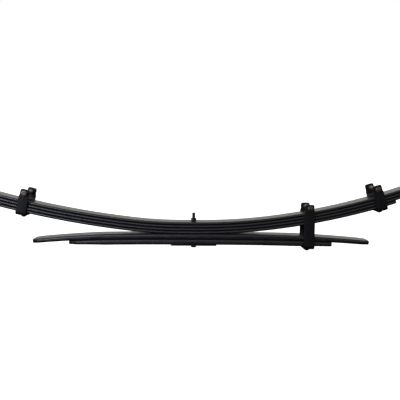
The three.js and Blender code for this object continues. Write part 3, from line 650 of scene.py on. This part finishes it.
metal = add(tree, "ShaderNodeBsdfPrincipled", {
    "Base Color": tint.outputs[0], "Metallic": 1.0, "Roughness": smear.outputs[0],
    "Normal": pitted.outputs[0],
})
add(tree, "ShaderNodeOutputMaterial", {"Surface": metal.outputs[0]})

# The straps' black enamel: thinner, over a rougher pressed skin, so it is duller than on the
# leaves, blotched every 8 mm or so, and rubbed a little greyer in places. IOR 1.5.
strap_enamel = bpy.data.materials.new("dull_enamel_on_pressed_strap")
strap_enamel.use_nodes = True
tree = strap_enamel.node_tree
tree.nodes.clear()
where = add(tree, "ShaderNodeTexCoord").outputs["Object"]
blotch = add(tree, "ShaderNodeTexNoise", {"Vector": where, "Scale": 125.0, "Detail": 4.0, "Roughness": 0.6})
rubbed = add(tree, "ShaderNodeMix", {
    "Factor": blotch.outputs[0], "A": colour("#070708"), "B": colour("#121213"),
}, data_type="RGBA")
dull = add(tree, "ShaderNodeMapRange", {
    "Value": blotch.outputs[0], "From Min": 0.3, "From Max": 0.7, "To Min": 0.42, "To Max": 0.6,
})
pressed = add(tree, "ShaderNodeTexNoise", {"Vector": where, "Scale": 700.0, "Detail": 3.0})
skin = add(tree, "ShaderNodeBump", {"Height": pressed.outputs[0], "Strength": 0.6, "Distance": 0.00006})
paint = add(tree, "ShaderNodeBsdfPrincipled", {
    "Base Color": rubbed.outputs[2], "Roughness": dull.outputs[0], "Normal": skin.outputs[0], "IOR": 1.5,
    "Specular IOR Level": 0.15,
})
add(tree, "ShaderNodeOutputMaterial", {"Surface": paint.outputs[0]})

STRAP, BEND, STRAP_EDGE, STRAP_POWER = 5.0, 3.0, 1.2, 5.0
FRONT_CLIP, REAR_CLIP, LONG_CLIP = 416.0, 457.0, 284.0
RIVET_HEAD, RIVET_RISE, RIVET_SHANK = 8.0, 7.0, 4.5
BOLT_HEAD, NUT_HIGH, BOLT_PAST = 5.3, 6.8, 9.3
OUTER_WIDTH, OUTER_EAR, OUTER_CROWN = 12.5, 11.0, 10.0
LONG_WIDTH, LONG_EAR, LONG_CROWN = 13.0, 11.0, 9.0


def u_arcs(inner, thick, bend_radius, arm):
    """Half a U seen along the leaf: half the floor, a quarter bend at mid-thickness, the arm."""
    middle = bend_radius + thick / 2
    return [(0, inner - bend_radius), (middle, middle * np.pi / 2), (0, arm)]


def u_reach(inner, thick, bend_radius, rise):
    """How far along the U's middle surface a height above its floor's middle lies."""
    middle = bend_radius + thick / 2
    return inner - bend_radius + middle * np.pi / 2 + rise - middle


def rebound_clip(end, body, x, z, slope, clip):
    """All pieces of one clip, in its own frame: X along the leaf, Z square to it, from the main
    leaf's top face."""
    inner, floor_mid = clip["inner"], clip["floor"] - STRAP / 2
    reach = u_reach(inner, STRAP, BEND, clip["bolt"] + clip["crown"] - floor_mid)
    shoulder = u_reach(inner, STRAP, BEND, clip["shoulder"] - floor_mid)
    blank = pressed_strip(
        u_arcs(inner, STRAP, BEND, 400.0), clip["half"], reach, STRAP, STRAP_EDGE, clip["crown"],
        STRAP_POWER, shoulder, clip["ear"],
    )
    strap = solid(f"{end}_strap_pressed", placed([blank + [0, 0, floor_mid]], x, z, slope))
    finish(strap, strap_enamel)

    head_top = clip["floor"] - STRAP - 0.3
    turns = np.radians(np.linspace(0, 82, 9))
    dome = [(RIVET_HEAD * np.sin(a), head_top - RIVET_RISE * np.cos(a)) for a in turns]
    rivet = solid(f"{end}_rivet_headed", placed([spin([
        *dome, (RIVET_HEAD - 0.2, head_top), (RIVET_SHANK, head_top), (RIVET_SHANK, clip["rivet_top"] - 0.4),
        (RIVET_SHANK - 0.4, clip["rivet_top"]), (0, clip["rivet_top"]),
    ])], x, z, slope))
    finish(rivet, strap_enamel)

    face = inner + STRAP + 0.3
    high = face + BOLT_HEAD
    rows = [(0, high - 0.35), (4.4, high - 0.35), (4.9, high), *hex_rows(face, high, False)[::-1]]
    rows += [(THREAD, face), (THREAD, -face + 1)]
    rows += [(radius, -height) for radius, height in threaded(face - 1, face + BOLT_PAST, 72)]
    rows += [(0, -face - BOLT_PAST)]
    bolt = solid(f"{end}_bolt_rolled", placed([on_cross_axis(spin(rows, 72), 0, clip["bolt"])], x, z, slope))
    hexagon_nut = on_cross_axis(nut(face, face + NUT_HIGH), 0, clip["bolt"], -1)
    nut_part = solid(f"{end}_nut_forged", placed([hexagon_nut], x, z, slope))
    bar_half = inner - 0.3
    ends = [(4.3, bar_half - 0.4), (4.7, bar_half), (5.5, bar_half), (6.0, bar_half - 0.5)]
    outline = [*ends, *[(radius, -height) for radius, height in ends[::-1]]]
    tube = on_cross_axis(turned_ring(outline), 0, clip["bolt"])
    spacer = solid(f"{end}_spacer_cut", placed([tube], x, z, slope))
    for part in (bolt, nut_part, spacer):
        finish(part, zinc)
    pieces = {"strap": strap, "rivet": rivet, "bolt": bolt, "nut": nut_part, "spacer": spacer}
    for node, part in pieces.items():
        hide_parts(f"{end}_clip_{node}")
        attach(part, body)


# Glass-filled polyamide liners, injection moulded: black with a fine satin grain, close enough to
# the bushes' moulded skin to share its values under a name of their own.
liner_plastic = urethane.copy()
liner_plastic.name = "moulded_black_polyamide_liner"
PACK_UNDER = -4 * LEAF - 3 * GAP
LINER_INNER, LINER, LINER_BEND, LINER_HALF, LINER_EDGE = 30.3, 2.0, 0.3, 12.0, 0.5
for end, side, arcs, reach in (("front", -1, front_arcs, FRONT_CLIP), ("rear", 1, rear_arcs, REAR_CLIP)):
    x, z, slope = station(side, arcs, reach)
    rebound_clip(end, f"{end}_arm", x, z, slope, {
        "inner": 32.6, "floor": PACK_UNDER - 2.6, "half": OUTER_WIDTH, "ear": OUTER_EAR, "crown": OUTER_CROWN,
        "shoulder": 9.0, "bolt": 18.0, "rivet_top": -3 * (LEAF + GAP),
    })
    reach = u_reach(LINER_INNER, LINER, LINER_BEND, 4.0 - PACK_UNDER + 0.3 + 1.0)
    arcs = u_arcs(LINER_INNER, LINER, LINER_BEND, 400.0)
    blank = pressed_strip(arcs, LINER_HALF, reach, LINER, LINER_EDGE, 2.0, 5.0)
    liner = solid(f"{end}_liner_moulded", placed([blank + [0, 0, PACK_UNDER - 1.3]], x, z, slope))
    finish(liner, liner_plastic)
    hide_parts(f"{end}_clip_liner")
    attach(liner, f"{end}_arm")

low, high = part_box("long_clip_strap")
_, rivet_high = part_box("long_clip_rivet")
x, _, _ = station(1, rear_arcs, LONG_CLIP)
bolt_z = 1000 * high.z - LONG_CROWN
rebound_clip("long", "seat", x, 0.0, 0.0, {
    "inner": 30.5, "floor": 1000 * low.z + STRAP, "half": LONG_WIDTH, "ear": LONG_EAR, "crown": LONG_CROWN,
    "shoulder": bolt_z - 10.0, "bolt": bolt_z, "rivet_top": 1000 * rivet_high.z,
})

# ======================================================================================
# Studio: a white sweep for a floor, soft light from overhead and from the front left, and
# a long-lens camera nearly level with the spring.
# ======================================================================================

scene = bpy.context.scene
yaw, pitch, roll = np.radians([0.63, 4.64, 0.40])
forward = Vector((np.sin(yaw) * np.cos(pitch), np.cos(yaw) * np.cos(pitch), -np.sin(pitch)))
right = Vector((np.cos(yaw), -np.sin(yaw), 0))
up = right.cross(forward)
right, up = right * np.cos(roll) + up * np.sin(roll), up * np.cos(roll) - right * np.sin(roll)
camera_data = bpy.data.cameras.new("camera")
camera_data.lens = 57.65
camera_data.sensor_width = 36
camera = bpy.data.objects.new("camera", camera_data)
scene.collection.objects.link(camera)
facing = Matrix((right, up, -forward)).transposed().to_4x4()
camera.matrix_world = Matrix.Translation((-0.002, -1.580, 0.2385)) @ facing
scene.camera = camera
scene.view_settings.view_transform = "Standard"

# The studio is dark below the bench and bright above it, with a white sweep as the background
world = bpy.data.worlds.new("studio")
world.use_nodes = True
tree = world.node_tree
tree.nodes.clear()
ray = add(tree, "ShaderNodeLightPath")
heading = add(tree, "ShaderNodeSeparateXYZ", {0: add(tree, "ShaderNodeTexCoord").outputs["Generated"]})
rise = add(tree, "ShaderNodeMapRange", {
    "Value": heading.outputs["Z"], "From Min": 0.0, "From Max": 0.2, "To Min": 0.012, "To Max": 0.98,
})
fall = add(tree, "ShaderNodeMapRange", {
    "Value": heading.outputs["Z"], "From Min": 0.3, "From Max": 0.8, "To Min": 1.0, "To Max": 0.15,
})
glow = add(tree, "ShaderNodeMath", {0: rise.outputs[0], 1: fall.outputs[0]}, operation="MULTIPLY")
dim = add(tree, "ShaderNodeBackground", {"Color": colour("#f6f6ef"), "Strength": glow.outputs[0]})
white = add(tree, "ShaderNodeBackground", {"Color": (1, 1, 1, 1), "Strength": 1.0})
both = add(tree, "ShaderNodeMixShader", {
    0: ray.outputs["Is Camera Ray"], 1: dim.outputs[0], 2: white.outputs[0],
})
add(tree, "ShaderNodeOutputWorld", {"Surface": both.outputs[0]})
scene.world = world

# Two softboxes: a dim square one overhead, and a cooler long strip in front on the left, whose
# reflection draws a fine line along each leaf's rounded edge
for name, place, aim, size, power, tint in (
    ("overhead_softbox", (-0.3, -0.2, 1.8), (-0.3, -0.2, 0.0), (2.0, 2.0), 6.0, "#f4f4ff"),
    ("front_softbox", (-1.5, -2.4, 0.65), (-0.3, 0.0, 0.08), (1.8, 0.3), 52.0, "#e4e6ff"),
):
    light_data = bpy.data.lights.new(name, "AREA")
    light_data.energy = power
    light_data.shape = "RECTANGLE"
    light_data.size, light_data.size_y = size
    light_data.color = colour(tint)[:3]
    light = bpy.data.objects.new(name, light_data)
    turn = (Vector(aim) - Vector(place)).to_track_quat("-Z", "Y").to_matrix().to_4x4()
    light.matrix_world = Matrix.Translation(place) @ turn
    scene.collection.objects.link(light)

sweep = bpy.data.materials.new("white_paper_sweep")
sweep.use_nodes = True
paper = sweep.node_tree.nodes["Principled BSDF"]
paper.inputs["Base Color"].default_value = colour("#f2f2f2")
paper.inputs["Roughness"].default_value = 0.9
paper.inputs["Emission Color"].default_value = (1, 1, 1, 1)
paper.inputs["Emission Strength"].default_value = 1.0
FLOOR_HALF, FLOOR_LEVEL = 6000.0, 1000 * cad_box[0][2] - 0.1
x, y = np.meshgrid([-FLOOR_HALF, FLOOR_HALF], [-FLOOR_HALF, FLOOR_HALF], indexing="ij")
floor = solid("floor", [np.stack([x, y, 0 * x + FLOOR_LEVEL], -1)])
floor.data.materials.append(sweep)
floor.visible_glossy = False
floor.visible_diffuse = False
